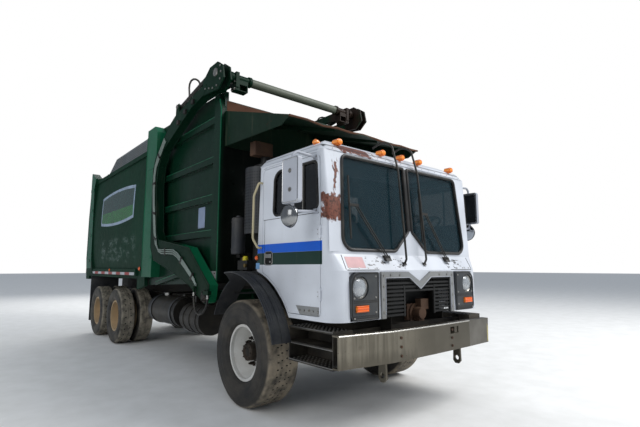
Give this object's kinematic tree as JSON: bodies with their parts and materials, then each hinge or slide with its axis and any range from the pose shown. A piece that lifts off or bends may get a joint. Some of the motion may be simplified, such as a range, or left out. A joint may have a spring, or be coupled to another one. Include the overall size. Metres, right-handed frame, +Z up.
{
  "type": "garbage truck",
  "caption": "Front-loading refuse truck: cab-over tractor, ribbed open hopper with canopy, packer body, tailgate and long lift arms with folded forks.",
  "frame": {"origin": "bottom centre of the truck's bounding box, on the ground", "axes": "+X forward, +Y to the truck's left, +Z up"},
  "size_m": [9.42, 3.03, 4.142],
  "materials": {
    "tyre_rubber": "worn, dusty",
    "white_wheel": "white enamel, dusty",
    "cream_wheel": "cream enamel with rust",
    "chassis_black": "black chassis paint, grimy",
    "tank_black": "black paint, worn",
    "bumper_steel": "weathered dull steel",
    "cab_white": "white paint with blue and green stripes",
    "cab_glass": "tinted",
    "cab_trim": "dark vinyl",
    "grille_grey": "light grey, worn",
    "grille_black": "black",
    "bezel_grey": "dark grey",
    "lamp_clear": "clear lens",
    "lamp_amber": "amber lens",
    "black_parts": "black",
    "flare_rubber": "black",
    "rail_cream": "cream",
    "mirror_white": "white housing",
    "body_green": "very dark green, scratched",
    "bright_green": "green",
    "sign_grey": "grey perforated sheet",
    "ram_steel": "hard chrome rod",
    "hose_black": "black hose"
  },
  "bodies": {
    "truck": {"air_cleaner": "tank_black", "cab_glass": "cab_glass", "cab_roof": "cab_white", "cab_shell": "cab_white", "cab_steps": "black_parts", "canopy": "body_green", "dashboard": "cab_trim", "engine_block": "chassis_black", "exhaust_stack": "tank_black", "frame_rails": "chassis_black", "front_axle": "chassis_black", "front_bumper": "bumper_steel", "front_pump": "chassis_black", "grab_rails": "rail_cream", "grille_bars": "grille_black", "grille_frame": "grille_grey", "guard_rods": "black_parts", "head_lamps": "lamp_clear", "hopper": "body_green", "lamp_bezels": "bezel_grey", "marker_lamps": "lamp_amber", "mid_pillars": "bright_green", "mudguards": "flare_rubber", "packer_body": "body_green", "radiator": "black_parts", "rear_axles": "chassis_black", "seats": "cab_trim", "side_tanks": "tank_black", "sign_panels": "sign_grey", "wipers": "black_parts"},
    "door_left": {"door_left": "cab_white", "door_glass_left": "cab_glass", "mirror_left": "mirror_white"},
    "door_right": {"door_right": "cab_white", "door_glass_right": "cab_glass", "mirror_right": "mirror_white"},
    "knuckle_left": {"knuckle_left": "chassis_black"},
    "knuckle_right": {"knuckle_right": "chassis_black"},
    "front_wheel_left": {"front_tyre_left": "tyre_rubber", "front_rim_left": "white_wheel"},
    "front_wheel_right": {"front_tyre_right": "tyre_rubber", "front_rim_right": "white_wheel"},
    "rear_fore_wheels_left": {"rear_fore_tyres_left": "tyre_rubber", "rear_fore_rims_left": "cream_wheel"},
    "rear_fore_wheels_right": {"rear_fore_tyres_right": "tyre_rubber", "rear_fore_rims_right": "cream_wheel"},
    "rear_aft_wheels_left": {"rear_aft_tyres_left": "tyre_rubber", "rear_aft_rims_left": "cream_wheel"},
    "rear_aft_wheels_right": {"rear_aft_tyres_right": "tyre_rubber", "rear_aft_rims_right": "cream_wheel"},
    "tailgate": {"tailgate": "body_green"},
    "packer_panel": {"packer_panel": "body_green"},
    "lift_arms": {"lift_arms": "bright_green", "arm_hose_left": "hose_black", "arm_hose_right": "hose_black"},
    "forks": {"forks": "bright_green"},
    "fork_barrels": {"fork_barrels": "black_parts"},
    "fork_rods": {"fork_rods": "ram_steel"},
    "lift_barrels": {"lift_barrels": "black_parts"},
    "lift_rods": {"lift_rods": "ram_steel"}
  },
  "joints": [
    {"name": "steering_left", "type": "hinge", "parent": "truck", "child": "knuckle_left", "pos_m": [3.09, 0.78, 0.5615], "axis": [0, 0, 1], "range_deg": [-35, 35]},
    {"name": "front_wheel_left", "type": "hinge", "parent": "knuckle_left", "child": "front_wheel_left", "pos_m": [3.09, 1.06, 0.5615], "axis": [0, 1, 0], "continuous": true},
    {"name": "rear_fore_wheels_left", "type": "hinge", "parent": "truck", "child": "rear_fore_wheels_left", "pos_m": [-1.98, 0.8945, 0.528], "axis": [0, 1, 0], "continuous": true},
    {"name": "rear_aft_wheels_left", "type": "hinge", "parent": "truck", "child": "rear_aft_wheels_left", "pos_m": [-3.35, 0.8945, 0.528], "axis": [0, 1, 0], "continuous": true},
    {"name": "door_left", "type": "hinge", "parent": "truck", "child": "door_left", "pos_m": [4.352, 1.192, 1.52], "axis": [0, 0, 1], "range_deg": [-70, 0]},
    {"name": "steering_right", "type": "hinge", "parent": "truck", "child": "knuckle_right", "pos_m": [3.09, -0.78, 0.5615], "axis": [0, 0, 1], "range_deg": [-35, 35]},
    {"name": "front_wheel_right", "type": "hinge", "parent": "knuckle_right", "child": "front_wheel_right", "pos_m": [3.09, -1.06, 0.5615], "axis": [0, 1, 0], "continuous": true},
    {"name": "rear_fore_wheels_right", "type": "hinge", "parent": "truck", "child": "rear_fore_wheels_right", "pos_m": [-1.98, -0.8945, 0.528], "axis": [0, 1, 0], "continuous": true},
    {"name": "rear_aft_wheels_right", "type": "hinge", "parent": "truck", "child": "rear_aft_wheels_right", "pos_m": [-3.35, -0.8945, 0.528], "axis": [0, 1, 0], "continuous": true},
    {"name": "door_right", "type": "hinge", "parent": "truck", "child": "door_right", "pos_m": [4.352, -1.192, 1.52], "axis": [0, 0, -1], "range_deg": [-70, 0]},
    {"name": "arm_lift", "type": "hinge", "parent": "truck", "child": "lift_arms", "pos_m": [2.28, 0, 1.125], "axis": [0, 1, 0], "range_deg": [0, 92]},
    {"name": "fork_tilt", "type": "hinge", "parent": "lift_arms", "child": "forks", "pos_m": [2.39, 0, 3.99], "axis": [0, 1, 0], "range_deg": [0, 100]},
    {"name": "tailgate_lift", "type": "hinge", "parent": "truck", "child": "tailgate", "pos_m": [-4.31, 0, 3.76], "axis": [0, 1, 0], "range_deg": [0, 80]},
    {"name": "packer_slide", "type": "slide", "parent": "truck", "child": "packer_panel", "axis": [-1, 0, 0], "range_m": [0, 6.2]},
    {"name": "lift_barrel_swing", "type": "hinge", "parent": "truck", "child": "lift_barrels", "pos_m": [0.49, 0, 0.9], "axis": [0, 1, 0], "range_deg": [-6, 2]},
    {"name": "lift_rod_slide", "type": "slide", "parent": "lift_barrels", "child": "lift_rods", "axis": [0.9995, 0, -0.033], "range_m": [-0.4962, 0]},
    {"name": "fork_barrel_swing", "type": "hinge", "parent": "lift_arms", "child": "fork_barrels", "pos_m": [1.14, 0, 3.89], "axis": [0, 1, 0], "range_deg": [-4, 6]},
    {"name": "fork_rod_slide", "type": "slide", "parent": "fork_barrels", "child": "fork_rods", "axis": [0.9835, 0, 0.1812], "range_m": [0, 0.2512]}
  ],
  "couplings": [
    {"joint": "steering_right", "follows": "steering_left", "ratio": 1},
    {"joint": "lift_barrel_swing", "follows": "arm_lift", "ratio": -0.04356},
    {"joint": "lift_rod_slide", "follows": "arm_lift", "m_per_rad": -0.29654},
    {"joint": "fork_barrel_swing", "follows": "fork_tilt", "ratio": 0.02615},
    {"joint": "fork_rod_slide", "follows": "fork_tilt", "m_per_rad": 0.13246}
  ]
}
